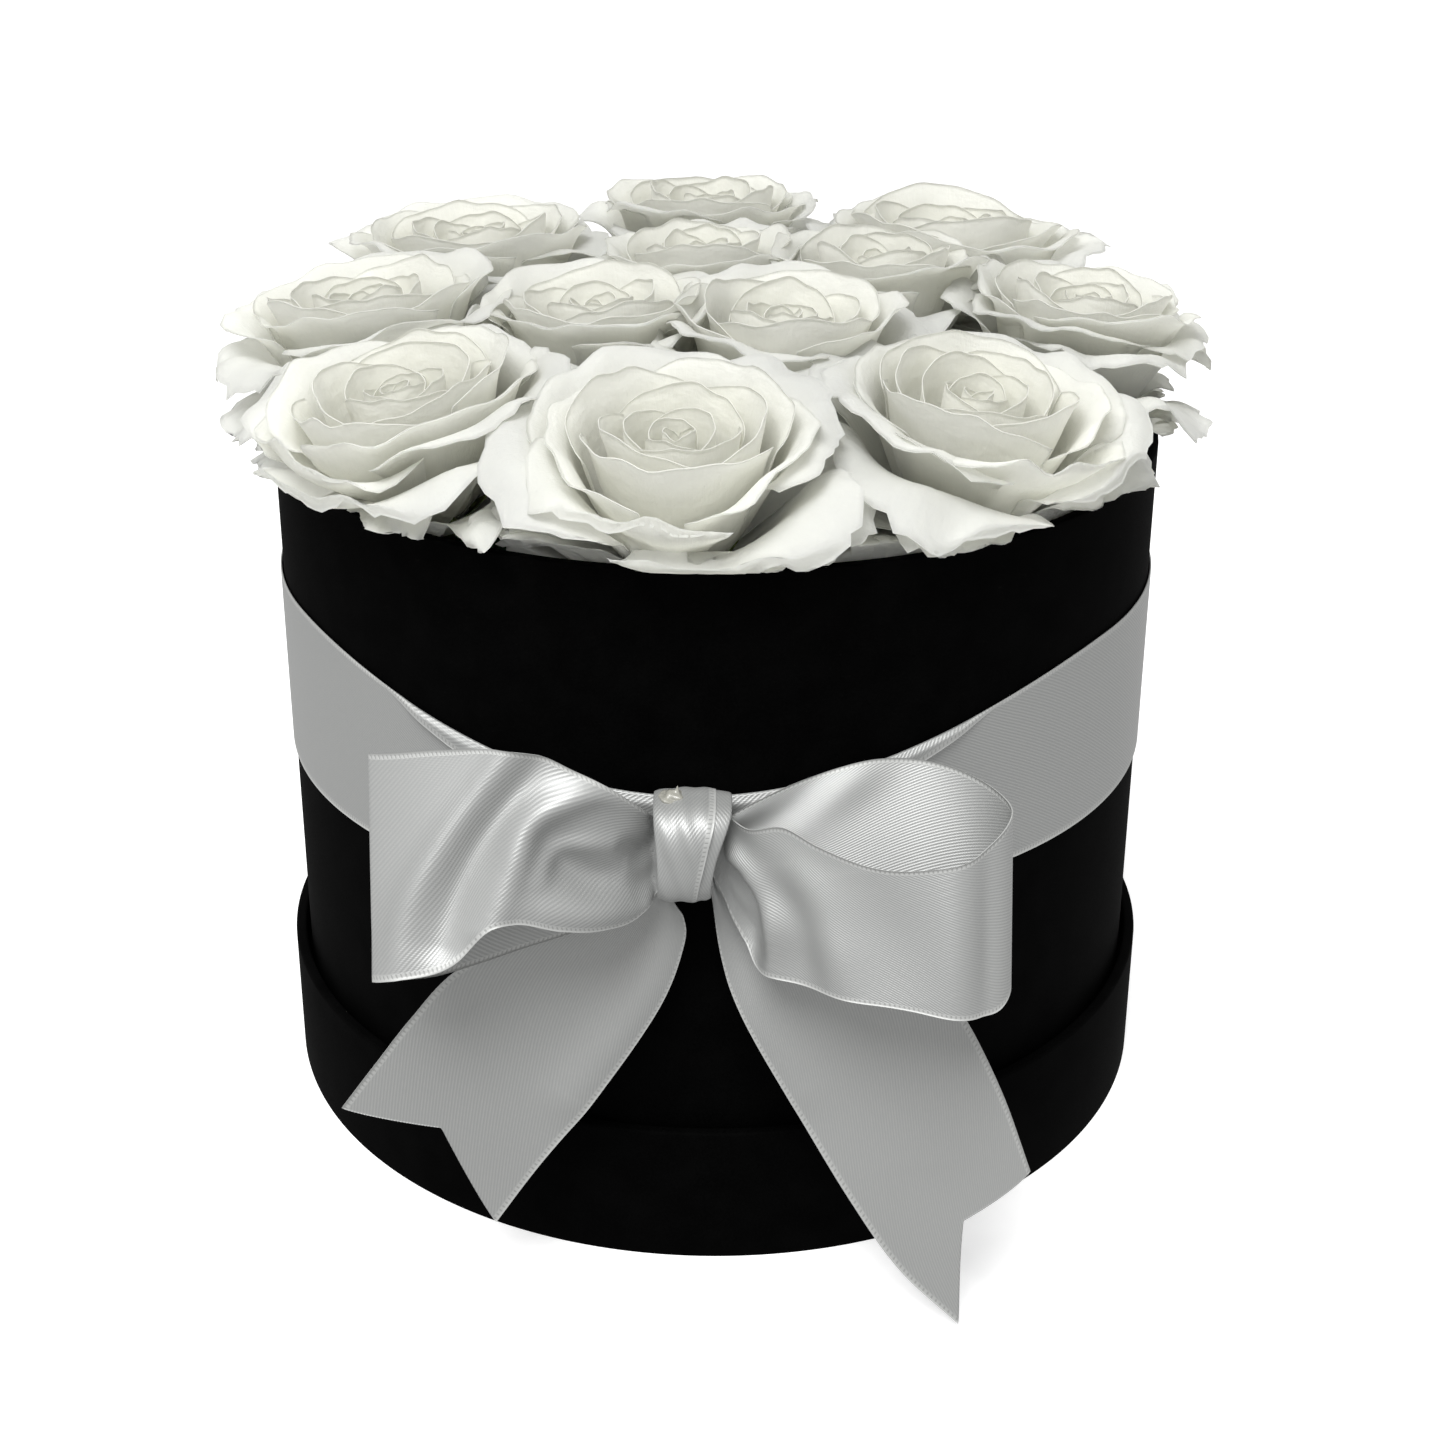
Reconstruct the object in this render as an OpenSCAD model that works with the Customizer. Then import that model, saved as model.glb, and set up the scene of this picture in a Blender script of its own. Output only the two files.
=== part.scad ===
// A round flower box: a covered cardboard drum standing in its own upturned lid, tied with a
// satin ribbon and bow, and filled with a foam block that holds a dozen rose heads on short stems.
// Millimetres, +Z up, bow towards -Y. The origin is the middle of the underside of the lid.

/* [Box] */
// Outside diameter of the covered box
box_d = 200; // [160:1:250]
// Height of the box alone, from its underside to its rim
box_h = 152; // [125:1:200]
// Thickness of the rolled greyboard wall
wall_board_t = 2.1; // [1.5:0.1:3]
// Thickness of the greyboard base disc
base_board_t = 2; // [1.5:0.1:3]
// Thickness of the black covering paper
paper_t = 0.3; // [0.2:0.05:0.5]
// How far the covering paper turns down inside the rim
turn_in = 14; // [8:1:25]

/* [Lid] */
// Height of the lid, outside
lid_h = 31; // [24:1:45]
// Gap all round between the box and the lid's lining
lid_gap = 0.9; // [0.5:0.1:2]
// Thickness of the lid's greyboard wall
lid_wall_t = 1.9; // [1.5:0.1:3]
// Thickness of the lid's greyboard disc
lid_board_t = 2.1; // [1.5:0.1:3]

/* [Ribbon] */
// Width of the satin ribbon
ribbon_w = 40; // [30:1:50]
// Thickness of the satin ribbon
ribbon_t = 0.4; // [0.3:0.1:0.8]
// Distance from the rim down to the ribbon's upper edge, at the back
ribbon_drop = 30; // [22:1:45]
// Reach of the bow's left loop from the knot
loop_left_l = 53; // [40:1:65]
// Reach of the bow's right loop from the knot
loop_right_l = 54; // [40:1:65]
// Width of the knot
knot_w = 14; // [11:1:18]

/* [Flowers] */
// Distance from the inside of the box wall in to the centres of the outer ring of roses
ring_inset = 17; // [16:0.5:24]
// Radius of the circle that the four inner roses stand on
inner_ring_r = 30; // [24:1:36]
// Size of the blooms, as a multiple of their natural sizes
bloom_scale = 1; // [0.85:0.05:1.2]
// Height of the front blooms
bloom_h = 36; // [30:1:44]
// Diameter of a rose stem
stem_d = 4; // [3:0.1:5]
// Depth of stem that is pushed into the foam
stem_bury = 58; // [40:1:70]
// Distance from the rim down to the top of the foam
foam_drop = 36; // [30:1:44]

/* [Hidden] */
rose_count = 12;
ROSE_PIECES = [for (i = [1:rose_count]) for (p = ["bloom", "calyx", "stem"])
    str("rose_", i < 10 ? "0" : "", i, "_", p)];
$fn = 96;

// Clearances: between pieces that slide past each other, and where one rests on another
seat_gap = 0.05;
bore_gap = 0.05;
foam_gap = 0.5;
bloom_gap = 0.8;

// Lid, upturned: its top paper is the face that everything stands on
box_r = box_d / 2;
lid_in_r = box_r + lid_gap;
lid_lined_r = lid_in_r + paper_t;
lid_board_r = lid_lined_r + lid_wall_t;
lid_out_r = lid_board_r + paper_t;
lid_floor = paper_t + lid_board_t + paper_t;
lid_turn_in = 10;

// Box
box_z = lid_floor + seat_gap;
rim_z = box_z + box_h;
box_board_r = box_r - paper_t;
box_lined_r = box_board_r - wall_board_t;
box_in_r = box_lined_r - paper_t;
base_top = box_z + paper_t + base_board_t;
floor_z = base_top + paper_t;

// Foam and roses
foam_r = box_in_r - foam_gap;
foam_z = floor_z + seat_gap;
foam_top = rim_z - foam_drop;
foam_bevel = 3;
bore_r = stem_d / 2 + bore_gap;
bore_end = 1;
neck_z = rim_z - 7;
calyx_h = 9;
calyx_t = 0.9;
ring_r = box_in_r - ring_inset;

// Every rose: azimuth from the front towards +X, ring (1 outer, 0 inner), outward shift,
// natural diameter, and extra height over the front blooms
ROSES = [
    [-47, 1, 1, 67, 0],
    [-5, 1, 1, 64, 0],
    [38, 1, -2, 67, 1],
    [87, 1, -1, 59, 4],
    [135, 1, 0, 70, 7],
    [182, 1, -1, 64, 9],
    [229, 1, -2, 68, 6],
    [275, 1, -6, 68, 5],
    [-60, 0, -2, 56, 6],
    [30, 0, -3, 60, 6],
    [188, 0, -3, 54, 8],
    [118, 0, 12, 58, 8]
];

// Ribbon and bow
band_r = box_r + seat_gap;
band_out_r = band_r + ribbon_t;
band_top = rim_z - ribbon_drop;
band_bottom = band_top - ribbon_w - 2;
knot_x = -5;
knot_az = -4;
knot_h = 20;
knot_d = 15;
knot_top = band_top - 13;
knot_bottom = knot_top - knot_h;
knot_mid = knot_top - knot_h / 2;
knot_back = -band_out_r - seat_gap;
knot_y = knot_back - knot_d / 2;
dip_top = 17;
dip_bottom = 8;
dip_top_az = 60;
dip_bottom_az = 35;
tail_clear = 1;

// A flat ring or tube standing on z
module tube(r_out, r_in, z, h) {
    translate([0, 0, z])
        linear_extrude(h)
            difference() {
                circle(r_out);
                circle(r_in);
            }
}

// A flat disc on z
module disc(r, z, h) {
    translate([0, 0, z])
        cylinder(h = h, r = r);
}

// ---- Lid ----
module lid_wall_board() {
    color("#8d8578")
        tube(lid_board_r, lid_lined_r, paper_t, lid_h - 2 * paper_t);
}

module lid_top_board() {
    color("#8d8578")
        disc(lid_lined_r, paper_t, lid_board_t);
}

// Side paper of the lid, carried over the open edge and turned in
module lid_wrap() {
    top = lid_h - paper_t;
    color("#141414")
        rotate_extrude()
            polygon([
                [lid_board_r, 0], [lid_out_r, 0], [lid_out_r, lid_h],
                [lid_in_r, lid_h], [lid_in_r, lid_h - lid_turn_in],
                [lid_lined_r, lid_h - lid_turn_in], [lid_lined_r, top], [lid_board_r, top]
            ]);
}

module lid_top_paper() {
    color("#161616")
        disc(lid_board_r, 0, paper_t);
}

module lid_lining_strip() {
    color("#1a1a1a")
        tube(lid_lined_r, lid_in_r, lid_floor, lid_h - lid_turn_in - lid_floor);
}

module lid_lining_disc() {
    color("#1a1a1a")
        disc(lid_lined_r, paper_t + lid_board_t, paper_t);
}

// ---- Box ----
module box_wall_board() {
    color("#8d8578")
        tube(box_board_r, box_lined_r, box_z + paper_t, box_h - 2 * paper_t);
}

module box_base_board() {
    color("#8d8578")
        disc(box_lined_r, box_z + paper_t, base_board_t);
}

// Outer paper of the box, carried over the rim and turned in
module box_wrap() {
    top = rim_z - paper_t;
    color("#101010")
        rotate_extrude()
            polygon([
                [box_board_r, box_z], [box_r, box_z], [box_r, rim_z],
                [box_in_r, rim_z], [box_in_r, rim_z - turn_in],
                [box_lined_r, rim_z - turn_in], [box_lined_r, top], [box_board_r, top]
            ]);
}

module box_base_paper() {
    color("#161616")
        disc(box_board_r, box_z, paper_t);
}

module box_lining_strip() {
    color("#1a1a1a")
        tube(box_lined_r, box_in_r, floor_z, rim_z - turn_in - floor_z);
}

module box_lining_disc() {
    color("#1a1a1a")
        disc(box_lined_r, base_top, paper_t);
}

// ---- Ribbon and bow ----
// How much an edge of the band is drawn towards the knot at an azimuth, from 0 to 1
function drawn_in(az, reach) = abs(az - knot_az) < reach
    ? (1 + cos(180 * (az - knot_az) / reach)) / 2
    : 0;

// The band's edges seen from the front: its upper edge dips and its lower edge lifts to the knot
band_step = 5;
function band_upper(az) = [band_out_r * sin(az), band_top - dip_top * drawn_in(az, dip_top_az)];
function band_lower(az) = [band_out_r * sin(az), band_bottom + dip_bottom * drawn_in(az, dip_bottom_az)];

module ribbon_band() {
    margin = 5;
    color("#c9cac8")
        intersection() {
            tube(band_out_r, band_r, band_bottom, band_top - band_bottom);
            union() {
                translate([-band_out_r - margin, 0, band_bottom - margin])
                    cube([2 * (band_out_r + margin), band_out_r + margin, band_top - band_bottom + 2 * margin]);
                rotate([90, 0, 0])
                    linear_extrude(band_out_r + margin)
                        polygon(concat(
                            [for (az = [-90:band_step:90]) band_upper(az)],
                            [for (az = [90:-band_step:-90]) band_lower(az)]
                        ));
            }
        }
}

// One point of a loop of ribbon seen from above: a teardrop that leaves the knot at turn 0, runs
// out to its reach and comes back, leaning forward by a share of its reach, and set in by inset
loop_fullness = 0.8;
function loop_half(turn, depth) = depth / 2 * sin(turn) * pow(sin(turn / 2), loop_fullness);
function loop_slope(turn, depth) = depth / 2 * (cos(turn) * pow(sin(turn / 2), loop_fullness)
    + loop_fullness / 2 * sin(turn) * cos(turn / 2) * pow(sin(turn / 2), loop_fullness - 1));
function loop_point(turn, reach, depth, forward, inset) =
    let (
        x = reach * (1 - cos(turn)) / 2,
        y = -loop_half(turn, depth) - forward * x,
        dx = reach * sin(turn) / 2,
        dy = -loop_slope(turn, depth) - forward * dx,
        len = norm([dx, dy])
    )
    [x - inset * dy / len, y + inset * dx / len];

loop_start = 14;
loop_step = 12;
loop_turns = [for (a = [loop_start:loop_step:360 - loop_start + 1]) min(a, 360 - loop_start)];

module loop_plan(reach, depth, forward) {
    last = len(loop_turns) - 1;
    polygon(concat(
        [for (a = loop_turns) loop_point(a, reach, depth, forward, 0)],
        [for (k = [last:-1:0]) loop_point(loop_turns[k], reach, depth, forward, ribbon_t)]
    ));
}

// A loop on one side of the knot, inside its outline as seen from the front
module bow_loop(side, reach, depth, forward, outline) {
    x0 = knot_x + side * knot_w / 2;
    tall = 2 * ribbon_w;
    intersection() {
        translate([x0, knot_y, knot_mid - ribbon_w])
            mirror([side < 0 ? 1 : 0, 0, 0])
                linear_extrude(tall)
                    intersection() {
                        loop_plan(reach, depth, forward);
                        translate([0, -tall])
                            square(2 * tall);
                    }
        translate([x0, knot_y + tall, knot_mid])
            rotate([90, 0, 0])
                linear_extrude(2 * tall)
                    polygon([for (p = outline) [side * p[0] * (reach + 1), p[1] * ribbon_w]]);
    }
}

// Outlines: reach from the knot as a share, height over the knot's middle in ribbon widths
LEFT_OUTLINE = [[0, -0.15], [0.5, -0.35], [1, -0.67], [1, 0.55], [0.55, 0.59], [0.25, 0.47], [0, 0.18]];
RIGHT_OUTLINE = [[0, -0.2], [0.3, -0.55], [0.8, -0.87], [1, -0.77], [1, 0.35], [0.55, 0.57], [0.2, 0.41], [0, 0.18]];

module bow_loop_left() {
    color("#e6e6e2")
        bow_loop(-1, loop_left_l, 22, 0.05, LEFT_OUTLINE);
}

module bow_loop_right() {
    color("#e6e6e2")
        bow_loop(1, loop_right_l, 32, 0.15, RIGHT_OUTLINE);
}

// The strip that closes the bow, as a rounded block round the waists of the loops
knot_corner = 5;
module bow_knot() {
    hy = knot_d / 2 - knot_corner;
    hz = knot_h / 2 - knot_corner;
    quarter = 15;
    color("#ececea")
        translate([knot_x - knot_w / 2, knot_y, knot_mid])
            rotate([90, 0, 90])
                linear_extrude(knot_w)
                    polygon([for (c = [0:3]) for (a = [0:quarter:90])
                        [(c == 0 || c == 3 ? hy : -hy) + knot_corner * cos(90 * c + a),
                         (c < 2 ? hz : -hz) + knot_corner * sin(90 * c + a)]]);
}

module bow_glue_dab() {
    r = 2.4;
    h = 3.2;
    color("#e9e7dc")
        translate([knot_x - 2, knot_y, knot_top])
            rotate_extrude($fn = 32)
                polygon([[0, 0], [r, 0], [0.9 * r, 0.25 * h], [0.5 * r, 0.6 * h], [0.15 * r, h], [0, h]]);
}

// A tail: a flat strip with a notched end, hung from under the knot and leaning forward.
// Points are across in mm from the knot's middle, and down as a share of the drop to the table.
tail_drop = knot_bottom - tail_clear;
module bow_tail(lean, y_off, outline) {
    reach = tail_drop / cos(lean);
    translate([knot_x, knot_y + y_off, knot_bottom])
        rotate([90 - lean, 0, 0])
            linear_extrude(ribbon_t)
                polygon([for (p = outline) [p[0], -p[1] * reach]]);
}

LEFT_TAIL = [[-6, 0], [0, 0], [-2, 0.14], [-9, 0.3], [-40, 0.82], [-50, 0.6], [-70, 0.52], [-50, 0.26], [-26, 0.08]];
RIGHT_TAIL = [[0, 0], [6, 0], [30, 0.12], [47, 0.23], [60, 0.4], [67, 0.58], [54, 0.76], [54, 1], [42, 0.87], [26, 0.64],
    [10, 0.34], [2, 0.12]];

module bow_tail_left() {
    color("#b9bab8")
        bow_tail(2, 2, LEFT_TAIL);
}

module bow_tail_right() {
    color("#b9bab8")
        bow_tail(8, -1, RIGHT_TAIL);
}

// ---- Foam and roses ----
// Centre of a rose on the plan
function rose_at(i) =
    let (r = (ROSES[i][1] == 1 ? ring_r : inner_ring_r) + ROSES[i][2])
    [r * sin(ROSES[i][0]), -r * cos(ROSES[i][0])];
function rose_r(i) = ROSES[i][3] / 2 * bloom_scale;
function rose_h(i) = bloom_h + ROSES[i][4];

// Where the neck's cone reaches the widest part of a bloom
neck_r = 5;
wide_at = 0.64;
function cone_r(i, h) = neck_r + (rose_r(i) - neck_r) * h / (wide_at * rose_h(i));

module foam_block() {
    color("#3f6b46")
        difference() {
            translate([0, 0, foam_z])
                rotate_extrude()
                    polygon([
                        [0, 0], [foam_r, 0], [foam_r, foam_top - foam_z - foam_bevel],
                        [foam_r - foam_bevel, foam_top - foam_z], [0, foam_top - foam_z]
                    ]);
            for (i = [0:rose_count - 1])
                translate([rose_at(i)[0], rose_at(i)[1], foam_top - stem_bury - bore_end])
                    cylinder(h = stem_bury + 2 * bore_end, r = bore_r);
        }
}

// What a rose keeps clear of: everything past the line between it and its neighbour
module beyond(i, j) {
    d = rose_at(j) - rose_at(i);
    share = rose_r(i) / (rose_r(i) + rose_r(j));
    big = 400;
    rotate([0, 0, atan2(d[1], d[0])])
        translate([norm(d) * share - bloom_gap / 2, -big / 2, -big / 2])
            cube(big);
}

module bloom(i) {
    r = rose_r(i);
    h = rose_h(i);
    color("#f1f0ea")
        translate([rose_at(i)[0], rose_at(i)[1], neck_z])
            difference() {
                rotate_extrude($fn = 64)
                    polygon([
                        [0, 0], [neck_r, 0], [r, wide_at * h], [0.97 * r, 0.78 * h],
                        [0.86 * r, 0.9 * h], [0.62 * r, 0.98 * h], [0.4 * r, h], [0, h]
                    ]);
                for (j = [0:rose_count - 1])
                    if (j != i && norm(rose_at(j) - rose_at(i)) < r + rose_r(j) + bloom_gap)
                        beyond(i, j);
            }
}

// Receptacle under the bloom, with five sepals that lie on its cone
module calyx(i) {
    cup_r = 14;
    tip_r = cup_r - 1;
    root_r = neck_r + calyx_t + 1.3;
    cup_h = (cup_r - neck_r) * wide_at * rose_h(i) / (rose_r(i) - neck_r);
    color("#6f7f4e")
        translate([rose_at(i)[0], rose_at(i)[1], neck_z])
            intersection() {
                rotate_extrude($fn = 48)
                    polygon([
                        [0, -calyx_h], [stem_d / 2 + 0.6, -calyx_h], [neck_r - 0.5, -0.6 * calyx_h],
                        [neck_r + calyx_t, -1], [cup_r + calyx_t, cup_h - 1], [cup_r, cup_h], [neck_r, 0], [0, 0]
                    ]);
                translate([0, 0, -calyx_h - 1])
                    rotate([0, 0, 11 + 5 * i])
                        linear_extrude(calyx_h + cup_h + 2)
                            polygon([for (k = [0:9])
                                (k % 2 == 0 ? tip_r : root_r) * [cos(36 * k), sin(36 * k)]]);
            }
}

module stem(i) {
    bottom = foam_top - stem_bury;
    color("#7d8a55")
        translate([rose_at(i)[0], rose_at(i)[1], bottom])
            cylinder(h = neck_z - calyx_h - bottom, d = stem_d, $fn = 32);
}

module rose_piece(k) {
    i = floor(k / 3);
    if (k % 3 == 0) bloom(i);
    if (k % 3 == 1) calyx(i);
    if (k % 3 == 2) stem(i);
}

lid_wall_board();
lid_top_board();
lid_wrap();
lid_top_paper();
lid_lining_strip();
lid_lining_disc();
box_wall_board();
box_base_board();
box_wrap();
box_base_paper();
box_lining_strip();
box_lining_disc();
ribbon_band();
bow_loop_left();
bow_loop_right();
bow_tail_left();
bow_tail_right();
bow_knot();
bow_glue_dab();
foam_block();
for (k = [0:len(ROSE_PIECES) - 1])
    rose_piece(k);
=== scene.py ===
"""Looks of a round flower box: twelve white roses in a black covered drum tied with satin ribbon."""

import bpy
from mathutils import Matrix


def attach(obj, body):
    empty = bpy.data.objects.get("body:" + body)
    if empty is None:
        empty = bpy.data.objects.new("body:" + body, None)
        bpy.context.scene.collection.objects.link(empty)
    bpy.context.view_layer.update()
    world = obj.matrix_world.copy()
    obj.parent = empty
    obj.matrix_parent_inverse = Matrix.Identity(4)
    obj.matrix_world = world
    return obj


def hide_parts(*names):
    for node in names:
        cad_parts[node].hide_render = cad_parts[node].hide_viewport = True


bl_info = {
    "name": "Flower box",
    "version": (1, 0, 0),
    "blender": (4, 5, 0),
    "location": "View3D > Sidebar > Flower box",
    "description": "Builds a round flower box with a ribbon bow and a dozen roses",
    "category": "Add Mesh",
}

import math

import bpy
import numpy as np
from bpy.props import FloatProperty, IntProperty, PointerProperty
from mathutils import Matrix, Vector

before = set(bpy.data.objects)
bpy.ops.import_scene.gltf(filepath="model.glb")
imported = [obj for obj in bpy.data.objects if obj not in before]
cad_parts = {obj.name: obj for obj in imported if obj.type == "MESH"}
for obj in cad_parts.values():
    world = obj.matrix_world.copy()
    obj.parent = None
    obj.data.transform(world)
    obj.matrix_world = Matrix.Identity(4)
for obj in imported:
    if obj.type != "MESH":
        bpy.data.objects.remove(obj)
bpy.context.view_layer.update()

GOLDEN = math.pi * (3 - math.sqrt(5))

# Roses: azimuth from the front towards +X in degrees, distance from the axis, natural radius,
# height of the bloom, petals, and a seed. Lengths in mm.
ROSES = (
    (-47, 81.3, 33.5, 36, 22, 11),
    (-5, 81.3, 32.0, 36, 20, 22),
    (38, 78.3, 33.5, 37, 21, 33),
    (87, 78.0, 28.5, 40, 24, 44),
    (135, 80.3, 36.5, 43, 21, 55),
    (182, 79.3, 32.0, 45, 21, 66),
    (229, 78.3, 34.0, 42, 21, 77),
    (275, 74.3, 32.5, 41, 22, 88),
    (-60, 28.0, 31.0, 42, 20, 99),
    (30, 27.0, 30.0, 42, 21, 110),
    (188, 27.0, 27.0, 44, 20, 121),
    (118, 42.0, 29.0, 44, 20, 132),
)
NECK_Z = 147.75
RIM_Z = 154.75
BOX_IN_R = 97.3


# ---------------------------------------------------------------- numbers and curves


def smooth(x):
    """Smooth step: 0 below 0, 1 above 1, and 3x^2 - 2x^3 between."""
    x = np.clip(x, 0, 1)
    return x * x * (3 - 2 * x)


def through(points, t):
    """Smooth curve through (place, value) pairs, read at t: cubic pieces with the slopes of the chords."""
    p = np.array(points, float)
    x, y = p[:, 0], p[:, 1:]
    slope = np.stack([np.gradient(y[:, k], x) for k in range(y.shape[1])], 1)
    t = np.clip(np.asarray(t, float), x[0], x[-1])
    i = np.clip(np.searchsorted(x, t, side="right") - 1, 0, len(x) - 2)
    h = (x[i + 1] - x[i])[..., None]
    f = ((t - x[i]) / (x[i + 1] - x[i]))[..., None]
    out = (
        (2 * f**3 - 3 * f**2 + 1) * y[i]
        + (f**3 - 2 * f**2 + f) * h * slope[i]
        + (-2 * f**3 + 3 * f**2) * y[i + 1]
        + (f**3 - f**2) * h * slope[i + 1]
    )
    return out[..., 0] if out.shape[-1] == 1 else out


def even(points, count):
    """The points of a curve, moved so that they are the same distance apart along it."""
    p = np.array(points, float)
    run = np.concatenate([[0], np.cumsum(np.linalg.norm(np.diff(p, axis=0), axis=1))])
    at = np.linspace(0, run[-1], count)
    return np.stack([np.interp(at, run, p[:, k]) for k in range(p.shape[1])], 1), at


def ridge(x, z, line, height, spread):
    """A soft fold along a line of (x, z) points: a bell curve of the distance to the line."""
    curve = through([(k, *p) for k, p in enumerate(line)], np.linspace(0, len(line) - 1, 48))
    best = np.full(x.shape, 1e9)
    where = np.zeros(x.shape)
    for k, (cx, cz) in enumerate(curve):
        d = (x - cx) ** 2 + (z - cz) ** 2
        nearer = d < best
        best = np.where(nearer, d, best)
        where = np.where(nearer, k / (len(curve) - 1), where)
    return height * np.exp(-best / (2 * spread**2)) * (0.55 + 0.45 * np.sin(math.pi * where))


def linear(colour):
    """An sRGB hex colour as linear RGBA."""
    parts = [int(colour[k : k + 2], 16) / 255 for k in (1, 3, 5)]
    return tuple(c / 12.92 if c <= 0.04045 else ((c + 0.055) / 1.055) ** 2.4 for c in parts) + (1.0,)


# ---------------------------------------------------------------- meshes


def grid_quads(rows, columns, wrap_rows=False, wrap_columns=False):
    """Faces of a grid of points, closed on itself along rows or columns where asked."""
    i = np.arange(rows if wrap_rows else rows - 1)[:, None]
    j = np.arange(columns if wrap_columns else columns - 1)[None, :]
    i2, j2 = (i + 1) % rows, (j + 1) % columns
    return np.stack(
        [i * columns + j + 0 * i2, i2 * columns + j, i2 * columns + j2, i * columns + j2 + 0 * i2], -1
    ).reshape(-1, 4)


def surface_normals(grid):
    """Unit normals of a grid of points, from the cross product of its two directions."""
    across = np.gradient(grid, axis=-2)
    along = np.gradient(grid, axis=-3)
    n = np.cross(along, across)
    return n / np.maximum(np.linalg.norm(n, axis=-1, keepdims=True), 1e-9)


def shell(grid, thickness, wrap_rows=False):
    """A grid of points as a thin closed sheet: the grid moved half the thickness to each side, and the
    two joined round its edges."""
    rows, columns = grid.shape[:2]
    if wrap_rows:
        padded = np.concatenate([grid[-2:], grid, grid[:2]])
        n = surface_normals(padded)[2:-2]
    else:
        n = surface_normals(grid)
    half = thickness / 2
    verts = np.concatenate([(grid + half * n).reshape(-1, 3), (grid - half * n).reshape(-1, 3)])
    front = grid_quads(rows, columns, wrap_rows)
    total = rows * columns
    back = front[:, ::-1] + total
    index = np.arange(total).reshape(rows, columns)
    rims = []
    lines = [(index[:, 0], False), (index[:, -1], True)]
    if not wrap_rows:
        lines += [(index[0], True), (index[-1], False)]
    for line, turned in lines:
        nxt = np.roll(line, -1) if wrap_rows else line[1:]
        here = line if wrap_rows else line[:-1]
        quad = np.stack([here, nxt, nxt + total, here + total], -1)
        rims.append(quad[:, ::-1] if turned else quad)
    return verts, np.concatenate([front, back] + rims)


def make_mesh(name, verts, quads, uv, material, tone=None, turn=None):
    """A mesh object from arrays: points in mm, quads, and per point a UV in mm and a tone from 0 to 1.
    Where the grid closes on itself the UV runs on: turn is its length once round."""
    mesh = bpy.data.meshes.new(name)
    mesh.vertices.add(len(verts))
    mesh.vertices.foreach_set("co", (np.asarray(verts) / 1000).astype(np.float32).ravel())
    mesh.loops.add(quads.size)
    mesh.loops.foreach_set("vertex_index", quads.astype(np.int32).ravel())
    mesh.polygons.add(len(quads))
    mesh.polygons.foreach_set("loop_start", np.arange(0, quads.size, 4, dtype=np.int32))
    mesh.polygons.foreach_set("use_smooth", np.ones(len(quads), bool))
    corner = np.asarray(uv, float)[quads]
    if turn:
        along = corner[..., 0]
        along += turn * (along < along.max(1, keepdims=True) - turn / 2)
    layer = mesh.uv_layers.new(name="UVMap")
    layer.uv.foreach_set("vector", corner.astype(np.float32).ravel())
    if tone is not None:
        attribute = mesh.attributes.new("tone", "FLOAT", "POINT")
        attribute.data.foreach_set("value", np.asarray(tone, np.float32).ravel())
    mesh.update(calc_edges=True)
    mesh.validate()
    mesh.materials.append(material)
    piece = bpy.data.objects.new(name, mesh)
    bpy.context.scene.collection.objects.link(piece)
    return piece


def ribbon_piece(name, grid, material, thickness, across, wrap_rows=False, shear=0.0, read=None):
    """A strip of ribbon from a grid whose rows run along it. Its UV is in mm along and across the
    strip. read gives the share of the length at each point where it isn't the same across a row."""
    rows, columns = grid.shape[:2]
    middle = grid[:, columns // 2]
    ring = np.concatenate([middle, middle[:1]]) if wrap_rows else middle
    run = np.concatenate([[0], np.cumsum(np.linalg.norm(np.diff(ring, axis=0), axis=1))])
    across = np.broadcast_to(across, (rows, columns))
    u = run[:rows, None] if read is None else read * run[-1]
    u = u + shear * (across - across.max() / 2)
    uv = np.stack([u, across], -1).reshape(-1, 2)
    verts, quads = shell(grid, thickness, wrap_rows)
    turn = run[-1] if wrap_rows else None
    return make_mesh(name, verts, quads, np.concatenate([uv, uv]), material, turn=turn)


def lathe(name, profile, segments, material, shape=None):
    """A ring with a closed profile of (radius, height) points, in order round the profile, turned about Z."""
    p = np.array(profile, float)
    angle = np.linspace(0, 2 * math.pi, segments, endpoint=False)
    r = np.broadcast_to(p[None, :, 0], (segments, len(p))).copy()
    z = np.broadcast_to(p[None, :, 1], r.shape).copy()
    if shape:
        r, z = shape(r, z, angle[:, None])
    verts = np.stack([r * np.cos(angle)[:, None], r * np.sin(angle)[:, None], z], -1).reshape(-1, 3)
    run = np.concatenate([[0], np.cumsum(np.linalg.norm(np.diff(p, axis=0), axis=1))])
    uv = np.stack(np.broadcast_arrays(angle[:, None] * p[:, 0].max(), run[None, :]), -1).reshape(-1, 2)
    turn = 2 * math.pi * p[:, 0].max()
    return make_mesh(name, verts, grid_quads(segments, len(p), True, True), uv, material, turn=turn)


def rounded(profile, radius, steps=5):
    """A closed outline with each corner rounded, or as much of it as its sides have room for."""
    p = np.array(profile, float)
    out = []
    for k in range(len(p)):
        before, here, after = p[k - 1], p[k], p[(k + 1) % len(p)]
        a, b = before - here, after - here
        la, lb = np.linalg.norm(a), np.linalg.norm(b)
        cut = min(radius, 0.45 * la, 0.45 * lb)
        start, end = here + a / la * cut, here + b / lb * cut
        for f in np.linspace(0, 1, steps):
            out.append((1 - f) ** 2 * start + 2 * f * (1 - f) * here + f**2 * end)
    return np.array(out)


# ---------------------------------------------------------------- materials

ADD, SUBTRACT, MULTIPLY = {"operation": "ADD"}, {"operation": "SUBTRACT"}, {"operation": "MULTIPLY"}
SINE, MINIMUM = {"operation": "SINE"}, {"operation": "MINIMUM"}
EASED = {"interpolation_type": "SMOOTHSTEP"}
COLOURS = {"data_type": "RGBA"}
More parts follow.
